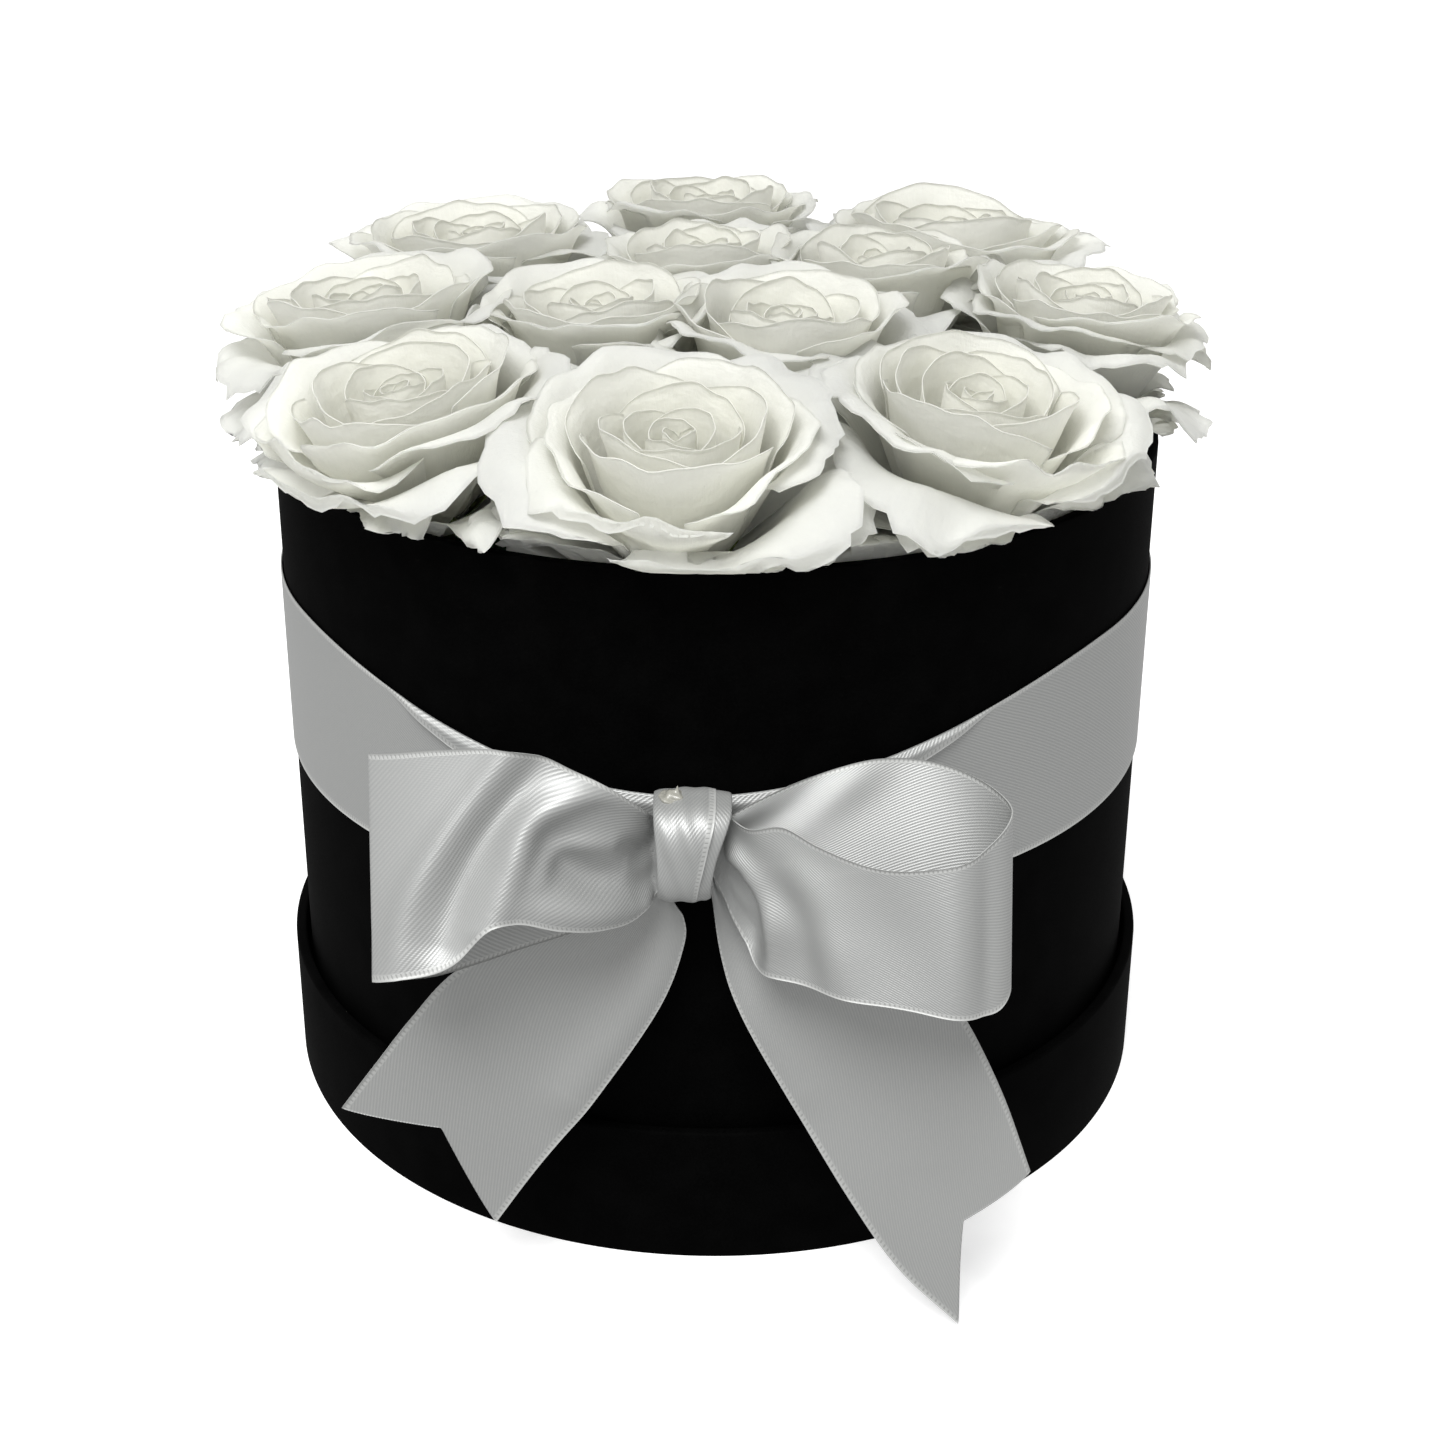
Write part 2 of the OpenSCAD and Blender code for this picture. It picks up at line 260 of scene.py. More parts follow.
# Sockets of a Mix node that blends colours
FACTOR, LOW, HIGH, BLEND = 0, 6, 7, 2


def add_node(tree, kind, settings=None, inputs=None, output=0):
    """Adds one shader node and gives one of its outputs. Settings are the node's own properties.
    Inputs are values or other nodes' outputs, by the socket's name or number."""
    node = tree.nodes.new("ShaderNode" + kind)
    for name, value in (settings or {}).items():
        setattr(node, name, value)
    for name, value in (inputs or {}).items():
        if isinstance(value, bpy.types.NodeSocket):
            tree.links.new(value, node.inputs[name])
        else:
            node.inputs[name].default_value = value
    return node.outputs[output]


def span(value, low, high, to_low=0.0, to_high=1.0):
    """The inputs that carry a value from one range to another."""
    return {"Value": value, "From Min": low, "From Max": high, "To Min": to_low, "To Max": to_high}


def blend(factor, low, high):
    """The inputs that blend two colours, each an sRGB hex value or another node's output."""
    low, high = (linear(c) if isinstance(c, str) else c for c in (low, high))
    return {FACTOR: factor, LOW: low, HIGH: high}


def new_material(name, roughness, specular, **more):
    """A material with one Principled shader, and its node tree and shader."""
    material = bpy.data.materials.new(name)
    material.use_nodes = True
    tree = material.node_tree
    shader = tree.nodes["Principled BSDF"]
    shader.inputs["Roughness"].default_value = roughness
    shader.inputs["Specular IOR Level"].default_value = specular
    for socket, value in more.items():
        shader.inputs[socket.replace("_", " ")].default_value = value
    return material, tree, shader


def join(tree, shader, colour, shine, relief):
    """Leads a colour, a roughness and a relief to the shader."""
    for name, source in (("Base Color", colour), ("Roughness", shine), ("Normal", relief)):
        tree.links.new(source, shader.inputs[name])


def grain_material(name, dark, light, grain, roughness, specular, depth, **more):
    """A plain material with a grain of a given size in metres, that shows in colour, shine and relief."""
    material, tree, shader = new_material(name, roughness, specular, **more)
    place = add_node(tree, "TexCoord", output="Object")
    grit = {"Scale": 1 / grain, "Detail": 5.0, "Roughness": 0.6, "Vector": place}
    fine = add_node(tree, "TexNoise", None, grit)
    broad = add_node(tree, "TexNoise", None, {"Scale": 0.05 / grain, "Detail": 3.0, "Vector": place})
    fainter = add_node(tree, "Math", MULTIPLY, {0: broad, 1: 0.6})
    both = add_node(tree, "Math", ADD, {0: fine, 1: fainter})
    share = add_node(tree, "MapRange", EASED, span(both, 0.55, 1.05))
    colour = add_node(tree, "Mix", COLOURS, blend(share, dark, light), BLEND)
    shine = add_node(tree, "MapRange", EASED, span(fine, 0.3, 0.7, roughness - 0.06, roughness + 0.06))
    relief = add_node(tree, "Bump", None, {"Strength": 0.6, "Distance": depth, "Height": fine})
    join(tree, shader, colour, shine, relief)
    return material


def satin_material(width):
    """White polyester satin ribbon. Its floats shine like a pearly metal, so it turns from grey to
    white as it tilts to the light. It has a fine twill at a slant and a stitched selvedge each side."""
    material, tree, shader = new_material(
        "white_satin_ribbon", 0.48, 0.8, Metallic=0.38, Coat_Weight=0.12, Coat_Roughness=0.35
    )
    twill_pitch, thread_pitch, stitch_pitch = 0.62, 0.31, 0.9
    uv = add_node(tree, "UVMap", {"uv_map": "UVMap"})
    parts = add_node(tree, "SeparateXYZ", None, {0: uv}).node
    along, across = parts.outputs["X"], parts.outputs["Y"]
    # The twill lies at 33 degrees to the ribbon's length, and its lines are drawn coarse enough to show
    slope = add_node(tree, "Math", MULTIPLY, {0: along, 1: 0.545})
    rise = add_node(tree, "Math", MULTIPLY, {0: across, 1: 0.839})
    slant = add_node(tree, "Math", ADD, {0: slope, 1: rise})
    waves = []
    for source, pitch in ((slant, twill_pitch), (across, thread_pitch), (along, stitch_pitch)):
        angle = add_node(tree, "Math", MULTIPLY, {0: source, 1: 2 * math.pi / pitch})
        waves.append(add_node(tree, "Math", SINE, {0: angle}))
    twill, thread, stitch = waves
    waver = add_node(tree, "TexNoise", None, {"Scale": 0.9, "Detail": 4.0, "Vector": uv})
    # Selvedge: a row of stitches from 0.4 to 1.1 mm inside each edge, and a beaded edge outside it
    far_side = add_node(tree, "Math", SUBTRACT, {0: width, 1: across})
    inward = add_node(tree, "Math", MINIMUM, {0: across, 1: far_side})
    row_start = add_node(tree, "MapRange", EASED, span(inward, 0.3, 0.5))
    row_end = add_node(tree, "MapRange", EASED, span(inward, 1.2, 0.95))
    row = add_node(tree, "Math", MULTIPLY, {0: row_start, 1: row_end})
    pierced = add_node(tree, "MapRange", EASED, span(stitch, 0.1, 0.9))
    holes = add_node(tree, "Math", MULTIPLY, {0: row, 1: pierced})
    edge = add_node(tree, "MapRange", EASED, span(inward, 1.4, 1.0))

    lines = add_node(tree, "MapRange", EASED, span(twill, -1.0, 1.0))
    field = add_node(tree, "Mix", COLOURS, blend(lines, "#9b9c9b", "#a6a7a5"), BLEND)
    cloudy = add_node(tree, "MapRange", EASED, span(waver, 0.35, 0.65, 0.7, 1.0))
    toned = add_node(tree, "Mix", COLOURS, blend(cloudy, "#9c9e9d", field), BLEND)
    pale = add_node(tree, "Mix", COLOURS, blend(edge, toned, "#b2b3b1"), BLEND)
    colour = add_node(tree, "Mix", COLOURS, blend(holes, pale, "#9a9b99"), BLEND)

    glossy = add_node(tree, "MapRange", EASED, span(twill, -1.0, 1.0, 0.51, 0.45))
    duller = add_node(tree, "Math", MULTIPLY, {0: edge, 1: 0.12})
    shine = add_node(tree, "Math", ADD, {0: glossy, 1: duller})

    faint = add_node(tree, "Math", MULTIPLY, {0: thread, 1: 0.25})
    weave = add_node(tree, "Math", ADD, {0: twill, 1: faint})
    inside = add_node(tree, "Math", SUBTRACT, {0: 1.0, 1: edge})
    calm = add_node(tree, "Math", MULTIPLY, {0: weave, 1: inside})
    cloth = add_node(tree, "Bump", None, {"Strength": 0.5, "Distance": 0.00004, "Height": calm})
    sunk = add_node(tree, "Math", MULTIPLY, {0: holes, 1: -0.5})
    raised = add_node(tree, "Math", MULTIPLY, {0: edge, 1: 0.4})
    bead = add_node(tree, "Math", ADD, {0: sunk, 1: raised})
    stitched = {"Strength": 0.5, "Distance": 0.00015, "Height": bead, "Normal": cloth}
    relief = add_node(tree, "Bump", None, stitched)
    join(tree, shader, colour, shine, relief)
    return material


def petal_material():
    """Preserved white rose petal: matte, light passes through it. Its heart is a bright cream with painted
    light that lifts the shaded bowl, and its outside a cool grey, partly the petals' own tint and partly
    painted shade on their lit upper faces.
    """
    material, tree, shader = new_material(
        "white_rose_petal", 0.62, 0.3, Sheen_Weight=0.15, Sheen_Roughness=0.5
    )
    uv = add_node(tree, "UVMap", {"uv_map": "UVMap"})
    tone = add_node(tree, "Attribute", {"attribute_name": "tone"}, output="Fac")
    drawn = add_node(tree, "Mapping", None, {"Scale": (1.0, 0.12, 1.0), "Vector": uv})
    fine = {"Scale": 1.6, "Detail": 5.0, "Roughness": 0.65, "Distortion": 0.6, "Vector": drawn}
    veins = add_node(tree, "TexNoise", None, fine)
    crumple = add_node(tree, "TexNoise", None, {"Scale": 0.35, "Detail": 4.0, "Vector": uv})
    # Painted light: the heart is lifted to a bright cream so the shaded bowl of the rose looks as light as
    # its outside
    inner = add_node(tree, "MapRange", EASED, span(tone, 0.0, 0.5))
    heart = add_node(tree, "Mix", COLOURS, blend(inner, "#fefef8", "#fbfbf7"), BLEND)
    # Painted shade: the outer petals turn a cool grey, partly their own tint and partly shade painted on
    # their lit, up-facing faces
    outer = add_node(tree, "MapRange", EASED, span(tone, 0.5, 1.0))
    body = add_node(tree, "Mix", COLOURS, blend(outer, heart, "#dadbdb"), BLEND)
    streak = add_node(tree, "MapRange", EASED, span(veins, 0.3, 0.7, 0.0, 0.3))
    colour = add_node(tree, "Mix", COLOURS, blend(streak, body, "#e6e6e2"), BLEND)
    shine = add_node(tree, "MapRange", EASED, span(veins, 0.3, 0.7, 0.56, 0.7))
    fold = add_node(tree, "Bump", None, {"Strength": 0.5, "Distance": 0.0006, "Height": crumple})
    veined = {"Strength": 0.5, "Distance": 0.00022, "Height": veins, "Normal": fold}
    relief = add_node(tree, "Bump", None, veined)
    join(tree, shader, colour, shine, relief)
    glow = add_node(tree, "BsdfTranslucent", None, {"Color": linear("#f8f8f3"), "Normal": relief})
    lit = add_node(tree, "MixShader", None, {0: 0.6, 1: shader.outputs[0], 2: glow})
    tree.links.new(lit, tree.nodes["Material Output"].inputs["Surface"])
    return material


def foam_material():
    """Dry floral foam: fine open cells in dark green."""
    material, tree, shader = new_material("floral_foam", 0.9, 0.2)
    place = add_node(tree, "TexCoord", output="Object")
    cells = add_node(tree, "TexVoronoi", None, {"Scale": 900.0, "Vector": place})
    dust = add_node(tree, "TexNoise", None, {"Scale": 120.0, "Detail": 4.0, "Vector": place})
    open_cell = add_node(tree, "MapRange", EASED, span(cells, 0.1, 0.6))
    green = add_node(tree, "Mix", COLOURS, blend(open_cell, "#25482e", "#3b6744"), BLEND)
    powder = add_node(tree, "MapRange", EASED, span(dust, 0.3, 0.7, 0.0, 0.35))
    colour = add_node(tree, "Mix", COLOURS, blend(powder, green, "#4c7854"), BLEND)
    shine = add_node(tree, "MapRange", EASED, span(dust, 0.3, 0.7, 0.82, 0.95))
    relief = add_node(tree, "Bump", None, {"Strength": 0.7, "Distance": 0.0006, "Height": cells})
    join(tree, shader, colour, shine, relief)
    return material


def plant_material(name, dark, light, along):
    """Green stem or sepal: streaks that run along it, and a soft uneven shine."""
    material, tree, shader = new_material(name, 0.55, 0.4)
    place = add_node(tree, "TexCoord", output="Object")
    drawn = add_node(tree, "Mapping", None, {"Scale": (1.0, 1.0, along), "Vector": place})
    streaks = add_node(tree, "TexNoise", None, {"Scale": 1400.0, "Detail": 4.0, "Vector": drawn})
    share = add_node(tree, "MapRange", EASED, span(streaks, 0.3, 0.7))
    colour = add_node(tree, "Mix", COLOURS, blend(share, dark, light), BLEND)
    shine = add_node(tree, "MapRange", EASED, span(streaks, 0.3, 0.7, 0.48, 0.66))
    relief = add_node(tree, "Bump", None, {"Strength": 0.5, "Distance": 0.0002, "Height": streaks})
    join(tree, shader, colour, shine, relief)
    return material


def glue_material():
    """Set hot glue: cloudy, with a smooth wet shine."""
    material, tree, shader = new_material("hot_glue", 0.22, 0.5, Coat_Weight=0.3)
    place = add_node(tree, "TexCoord", output="Object")
    specks = add_node(tree, "TexNoise", None, {"Scale": 700.0, "Detail": 3.0, "Vector": place})
    colour = add_node(tree, "Mix", COLOURS, blend(specks, "#7b7a73", "#acaba2"), BLEND)
    shine = add_node(tree, "MapRange", EASED, span(specks, 0.3, 0.7, 0.16, 0.36))
    relief = add_node(tree, "Bump", None, {"Strength": 0.6, "Distance": 0.0004, "Height": specks})
    join(tree, shader, colour, shine, relief)
    return material


# ---------------------------------------------------------------- settings


class FlowerBoxRoses(bpy.types.PropertyGroup):
    thickness: FloatProperty(
        name="Petal thickness", description="Thickness of a petal", default=0.0002,
        unit="LENGTH", subtype="DISTANCE",
    )
    across: IntProperty(name="Across", description="Points across a petal", default=29, min=9)
    upward: IntProperty(name="Upward", description="Points from a petal's foot to its rim", default=26, min=9)
    lean: FloatProperty(
        name="Outward lean", description="Lean of the front roses away from the middle",
        default=math.radians(13), unit="ROTATION", subtype="ANGLE",
    )
    squeeze: FloatProperty(
        name="Overlap", description="How far petals reach past the line between two roses", default=0.004,
        unit="LENGTH", subtype="DISTANCE",
    )


class FlowerBoxRibbon(bpy.types.PropertyGroup):
    width: FloatProperty(
        name="Width", description="Width of the ribbon", default=0.040, unit="LENGTH", subtype="DISTANCE"
    )
    thickness: FloatProperty(
        name="Thickness", description="Thickness of the ribbon", default=0.0003,
        unit="LENGTH", subtype="DISTANCE",
    )
    rows: IntProperty(name="Detail", description="Points along a loop or tail", default=200, min=40)
    columns: IntProperty(name="Across", description="Points across the ribbon", default=61, min=21)


class FlowerBoxCard(bpy.types.PropertyGroup):
    edge: FloatProperty(
        name="Edge radius", description="Rounding of the paper over the board's edges", default=0.0007,
        unit="LENGTH", subtype="DISTANCE",
    )
    segments: IntProperty(name="Segments", description="Segments round the drum", default=256, min=64)


class FlowerBoxStage(bpy.types.PropertyGroup):
    key: FloatProperty(
        name="Key light", description="Power of the light overhead", default=23.0, unit="POWER"
    )
    fill: FloatProperty(name="Fill", description="Strength of the light from all round", default=0.66)


# ---------------------------------------------------------------- roses


def rose_centre(k):
    """Centre of a rose on the plan, in mm."""
    azimuth, reach = math.radians(ROSES[k][0]), ROSES[k][1]
    return np.array([reach * math.sin(azimuth), -reach * math.cos(azimuth)])


def petal_grid(k, across, upward):
    """Points of all petals of a rose, as (petal, upward, across, 3) in mm, with their UV and tone.

    Petals follow each other at the golden angle from the heart out. A petal's rise from its foot
    to its rim is a cubic curve of radius and height, its rim then rolls outward, more at its two
    sides than at its middle. It tapers to a rounded outline, one side lies inside the next petal
    and the other outside, and its rim ripples, most on the outermost petals. The last ones, more of
    them on the outer roses, are guard petals that lie low and spread wide.
    """
    azimuth, reach, radius, height, petals, seed = ROSES[k]
    chance = np.random.default_rng(seed)
    guards = 14 if reach > 60 else 5
    count = np.arange(petals + guards)
    layer = (np.minimum(count + 0.5, petals) / petals)[:, None, None]
    guard = (count >= petals)[:, None, None] * 1.0
    a = np.linspace(-1, 1, across)[None, None, :]
    b = np.linspace(0, 1, upward)[None, :, None] ** 0.85

    def draw(low, high):
        return chance.uniform(low, high, len(count))[:, None, None]

    size = radius / 33
    rim_r = size * through(
        [(0, 1.8), (0.15, 5.2), (0.3, 10), (0.45, 16), (0.6, 22), (0.7, 26), (0.8, 30), (0.9, 34), (1, 38)],
        layer,
    )
    rim_h = height * through(
        [
            (0, 0.88), (0.15, 0.9), (0.3, 0.94), (0.45, 0.97), (0.6, 0.98),
            (0.7, 0.95), (0.8, 0.88), (0.9, 0.78), (1, 0.64),
        ],
        layer,
    )
    rim_r = rim_r * (1 + draw(-0.07, 0.07) * smooth(layer * 3))
    rim_h = rim_h + draw(-1.0, 1.0) * (0.4 + 2.0 * layer**1.5)
    under = count[:, None, None] % 2
    rim_h = np.where(guard > 0, height * (draw(0.36, 0.56) - 0.14 * under), rim_h)
    rim_r = np.where(guard > 0, size * (draw(34, 40) + 7 * under), rim_r)
    half = through([(0, 2.3), (0.15, 1.8), (0.3, 1.5), (0.5, 1.3), (0.7, 1.2), (0.85, 1.1), (1, 1.02)], layer)
    half = half * (1 + draw(-0.14, 0.14)) - 0.3 * guard
    turn = (count * GOLDEN)[:, None, None] + draw(-0.3, 0.3) + chance.uniform(0, 2 * math.pi)
    turn = np.where(guard > 0, (count * 2 * math.pi / guards)[:, None, None] + draw(-0.2, 0.2), turn)

    outline = 1 - (0.13 + 0.08 * layer) * np.abs(a) ** 2.6 + draw(-0.03, 0.04) * np.cos(3 * a + draw(0, 6))
    nick = 0.014 * np.sin(23 * a + draw(0, 6)) + 0.012 * np.sin(41 * a + draw(0, 6))
    outline = outline + nick * smooth((layer - 0.6) * 2.8)
    up = b * outline
    drawn_in_rim = 1 - 0.14 * smooth((up - 0.8) / 0.2) * (1 - 0.4 * layer)
    spread = half * (0.72 + 0.28 * smooth(up * 1.8)) * drawn_in_rim
    angle = turn + a * spread

    foot_r = 1.2 + 3.4 * layer
    foot_z = 7 * (1 - layer) ** 1.2
    cup = through([(0, 1.3), (0.15, 1.2), (0.35, 1.06), (0.6, 0.9), (0.8, 0.74), (1, 0.62)], layer)
    low = through([(0, 1.0), (0.5, 0.85), (0.8, 0.6), (1, 0.45)], layer)
    crest = through([(0, 0.7), (0.6, 0.84), (0.8, 1.08), (1, 1.32)], layer) - 0.1 * guard
    weight = [(1 - up) ** 3, 3 * up * (1 - up) ** 2, 3 * up**2 * (1 - up), up**3]
    lift = rim_h - foot_z
    r = weight[0] * foot_r + weight[1] * low * rim_r + weight[2] * cup * rim_r + weight[3] * rim_r
    z = foot_z + lift * (weight[1] * 0.22 + weight[2] * crest + weight[3])

    roll_turn = through([(0, 0.2), (0.2, 0.4), (0.4, 0.7), (0.6, 1.2), (0.8, 1.1), (1, 0.8)], layer)
    roll_turn = roll_turn - 0.2 * guard
    roll_turn = roll_turn * draw(0.45, 1.25) * (0.7 + 0.7 * np.abs(a + draw(-0.3, 0.3)) ** 1.6)
    roll_size = through([(0, 0.8), (0.4, 1.5), (0.7, 2.4), (1, 3.4)], layer) * draw(0.8, 1.3)
    start = 0.8 - 0.14 * layer
    q = smooth((up - start) / (1 - start)) * np.clip((up - start) / (1 - start), 0, 1) ** 0.2
    r = r + roll_size * np.sin(roll_turn * q)
    z = z - roll_size * (1 - np.cos(roll_turn * q))

    gap = 0.55 + 0.9 * layer
    r = r + gap * a * (0.3 + 0.7 * up)
    wave = np.sin(1.4 * math.pi * a + draw(0, 6)) * draw(0.2, 1.0) * (0.15 + 1.7 * layer**1.5)
    r = r + wave * up**2 * 0.8
    z = z + np.sin(1.1 * math.pi * a + draw(0, 6)) * draw(0.2, 1.2) * 1.5 * layer**1.5 * up**2
    ruffle = np.sin(3.1 * math.pi * a + draw(0, 6)) + 0.6 * np.sin(5.3 * math.pi * a + draw(0, 6))
    edge = smooth((up - 0.64) / 0.36)
    z = z + ruffle * edge * (0.1 + 0.9 * layer**2.2)
    r = r + np.sin(4.3 * math.pi * a + draw(0, 6)) * edge * (0.06 + 0.6 * layer**2.2)
    tip = np.exp(-((a / 0.16) ** 2)) * smooth((up - 0.8) / 0.2)
    z = z + tip * draw(0.0, 0.9) * smooth(layer * 3)

    x, y = r * np.cos(angle), r * np.sin(angle)
    uv = np.stack(
        [np.broadcast_to(a * spread * rim_r * 0.8, r.shape) + 40 * count[:, None, None], up * 38 + 0 * r], -1
    )
    # tone runs from 0 in the heart to 1 at the outer rims; the petal material paints light into the low end
    # and shade into the high end
    tone = np.clip(0.7 * layer + 0.3 * up, 0, 1) + 0 * r
    return np.stack([x, y, z], -1), uv, tone


def settle(points, k, lean, squeeze):
    """Leans a rose outward, most at the front, then presses its petals in where they pass its
    neighbours or the wall. Low petals that reach over the rim droop."""
    centre = rose_centre(k)
    outward = centre / np.linalg.norm(centre)
    facing = max(0.15, (1 - centre[1] / np.linalg.norm(centre)) / 2)
    tilt = lean * facing * min(1.0, np.linalg.norm(centre) / 75)
    flat = points[..., :2]
    away = flat @ outward
    z = points[..., 2]
    shifted = away * math.cos(tilt) + z * math.sin(tilt)
    lifted = z * math.cos(tilt) - away * math.sin(tilt)
    flat = flat + (shifted - away)[..., None] * outward
    for j in range(len(ROSES)):
        if j == k:
            continue
        to = rose_centre(j) - centre
        distance = np.linalg.norm(to)
        if distance > ROSES[j][2] + ROSES[k][2] + 8:
            continue
        to = to / distance
        limit = distance * ROSES[k][2] / (ROSES[j][2] + ROSES[k][2]) + squeeze
        past = np.maximum(flat @ to - limit + 3, 0)
        kept = 3 * (1 - np.exp(-past / 3))
        flat = flat - (past - kept)[..., None] * to
        lifted = lifted + 0.35 * (past - kept)
    world = np.concatenate([flat + centre, lifted[..., None] + NECK_Z], -1)
    plan = np.linalg.norm(world[..., :2], axis=-1)
    wall = BOX_IN_R - 1.2 + 15 * smooth((world[..., 2] - RIM_Z - 1) / 9)
    over = np.maximum(plan - wall, 0)
    world[..., :2] *= ((plan - over) / np.maximum(plan, 1e-6))[..., None]
    world[..., 2] -= 5 * smooth((plan - over - 99.5) / 11) * smooth((RIM_Z + 24 - world[..., 2]) / 9)
    return world


def build_rose(k, material):
    """All petals of one rose as one piece of thin closed sheets."""
    s = bpy.context.scene.flower_box_roses
    points, uv, tone = petal_grid(k, s.across, s.upward)
    world = settle(points, k, s.lean, s.squeeze * 1000)
    petals, rows, columns = world.shape[:3]
    verts, quads = [], []
    start = 0
    for p in range(petals):
        v, q = shell(world[p], s.thickness * 1000)
        verts.append(v)
        quads.append(q + start)
        start += len(v)
    flat_uv = np.concatenate([np.concatenate([uv[p].reshape(-1, 2)] * 2) for p in range(petals)])
    flat_tone = np.concatenate([np.concatenate([tone[p].ravel()] * 2) for p in range(petals)])
    name = f"rose_{k + 1:02d}_petals"
    piece = make_mesh(name, np.concatenate(verts), np.concatenate(quads), flat_uv, material, flat_tone)
    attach(piece, f"rose_{k + 1:02d}")
    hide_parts(f"rose_{k + 1:02d}_bloom")
    return piece


# ---------------------------------------------------------------- ribbon

BAND_R = 100.25
KNOT_X, KNOT_Y = -5.0, -108.0
KNOT_HALF = 7.0


def drawn_in(azimuth, reach):
    """How much the band is drawn towards the knot at an azimuth in degrees, from 0 to 1."""
    near = np.abs(azimuth + 4)
    return np.where(near < reach, (1 + np.cos(math.pi * near / reach)) / 2, 0)


def band_grid(columns, width):
    """The ribbon round the drum: a ring whose edges are drawn in to the knot, with its upper edge
    folded over forward beside the bow, and soft pleats that run into the knot. Also gives how far
    across the ribbon each point is."""
    azimuth = np.linspace(-180, 180, 480, endpoint=False)[:, None]
    folded = 14
    flat = columns - folded
    wall = np.concatenate([np.linspace(0, 1, flat), np.ones(folded)])[None, :]
    turned = np.concatenate([np.zeros(flat), np.linspace(0, 1, folded + 1)[1:]])[None, :]
    upper = 124.75 - 17 * drawn_in(azimuth, 60)
    lower = 82.75 + 8 * drawn_in(azimuth, 35)
    fold = 0.3 + 4.9 * smooth((41 - np.abs(azimuth + 4)) / 22)
    z = lower + (upper - lower) * wall - turned * fold
    close = drawn_in(azimuth, 24)
    pleats = close * (0.9 + 0.9 * np.sin(2 * math.pi * 2.4 * wall + 0.8))
    pleats = pleats * np.sin(math.pi * np.clip(wall, 0.02, 0.98))
    proud = smooth((fold - 0.3) / 2)
    r = BAND_R + proud * (0.9 * smooth(turned * 2.5) + 0.25 * smooth((wall - 0.96) / 0.04)) + pleats
    r = r + 0.12 * (1 + np.sin(np.radians(azimuth * 7)) * np.sin(3 * wall)) * (1 - close)
    angle = np.radians(azimuth)
    across = wall * (width - fold) + turned * fold
    return np.stack(np.broadcast_arrays(r * np.sin(angle), -r * np.cos(angle), z), -1), across


def loop_grid(side, reach, depth, forward, crease, back, lean, edges, folds, rows, columns):
    """One loop of the bow: on the plan a teardrop that leaves the knot in front, turns at its
    reach and comes back behind, and in front view between an upper and a lower edge for each
    layer. crease flattens the turn and back is the share of the depth behind. Each layer leans
    back at its top, by its own curve of lean, and narrows upward as it does. Folds push a layer out
    or in along lines seen from the front."""
    turn = np.linspace(6, 354, 400) * math.pi / 180
    x = reach * (1 - np.cos(turn)) / 2
    teardrop = depth / 2 * np.sin(turn) * np.sin(turn / 2) ** 0.8
    half = teardrop * np.abs(np.cos(turn / 2)) ** crease * (1 + 0.5 * crease)
    y = -half * np.where(turn > math.pi, back, 1) - forward * x
    lead = 5
    x = np.concatenate([[-lead], x, [-lead]])
    y = np.concatenate([[-0.8], y, [0.8]])
    layer = np.concatenate([[0], (turn > math.pi).astype(float), [1]])
    plan, _ = even(np.stack([x, y, layer], 1), rows)
    x, y = plan[:, 0], plan[:, 1]
    behind = np.arange(rows) > int(np.argmax(x))
    share = np.clip(x / reach, -0.09, 1)
    front_low, front_high, back_low, back_high = (through(e, share) for e in edges)
    low = np.where(behind, back_low, front_low)
    high = np.where(behind, back_high, front_high)
    v = np.linspace(0, 1, columns)[None, :]
    z = low[:, None] + (high - low)[:, None] * v
    narrow, pivot, front_lean, back_lean = lean
    xx = x[:, None] * (1 + narrow * (0.5 - v))
    tilt = np.where(behind, through(back_lean, share), through(front_lean, share))[:, None]
    shift = tilt * (z - pivot)
    grid = np.stack([KNOT_X + side * (KNOT_HALF + xx), KNOT_Y + y[:, None] + shift, z - 0.55 * shift], -1)
    out = surface_normals(grid)
    out = out * np.where(out[..., 1:2] * np.where(behind, -1, 1)[:, None, None] > 0, -1, 1)
    push = np.zeros(z.shape)
    for on_back, line, height, spread in folds:
        amount = ridge(xx, z, line, height, spread)
        push = push + np.where(behind[:, None] == on_back, amount, 0)
    gather = np.exp(-np.clip(xx, 0, None) / 7)
    push = push + gather * 0.6 * np.sin(2 * math.pi * 2.6 * v + (1.1 if side < 0 else 2.4))
    push = push * smooth((xx + 1) / 3) * smooth((reach - xx) / 2.5)
    return grid + push[..., None] * out


LEFT_EDGES = (
    [
        (-0.09, 95), (0, 90.5), (0.08, 87), (0.19, 86.2), (0.34, 87.3),
        (0.5, 89.2), (0.57, 88.2), (0.69, 80.5), (0.89, 74.6), (1, 72),
    ],
    [
        (0, 107.5), (0.05, 110.5), (0.15, 116.2), (0.27, 120.8),
        (0.37, 124), (0.52, 126), (0.73, 125.2), (1, 121),
    ],
    [(0, 91), (0.26, 81.2), (0.5, 76), (0.66, 73), (0.8, 71.2), (0.92, 71.4), (1, 72)],
    [(0, 106), (0.3, 111), (0.6, 114), (0.8, 115.5), (0.93, 118), (1, 121)],
)
RIGHT_EDGES = (
    [
        (-0.09, 99), (-0.03, 93), (0, 89), (0.03, 84), (0.1, 78.2), (0.2, 76.8),
        (0.39, 75.9), (0.63, 75), (0.88, 72.9), (0.96, 72.9), (1, 74.5),
    ],
    [(0, 108), (0.08, 107), (0.2, 109.2), (0.31, 107), (0.49, 104.4), (0.7, 105.1), (0.89, 107.8), (1, 112)],
    [(-0.09, 97), (0, 92), (0.3, 84), (0.7, 78), (1, 74.5)],
    [(0, 107), (0.16, 110), (0.27, 112), (0.4, 114), (0.55, 115.7), (0.77, 115.6), (0.93, 113.4), (1, 112)],
)
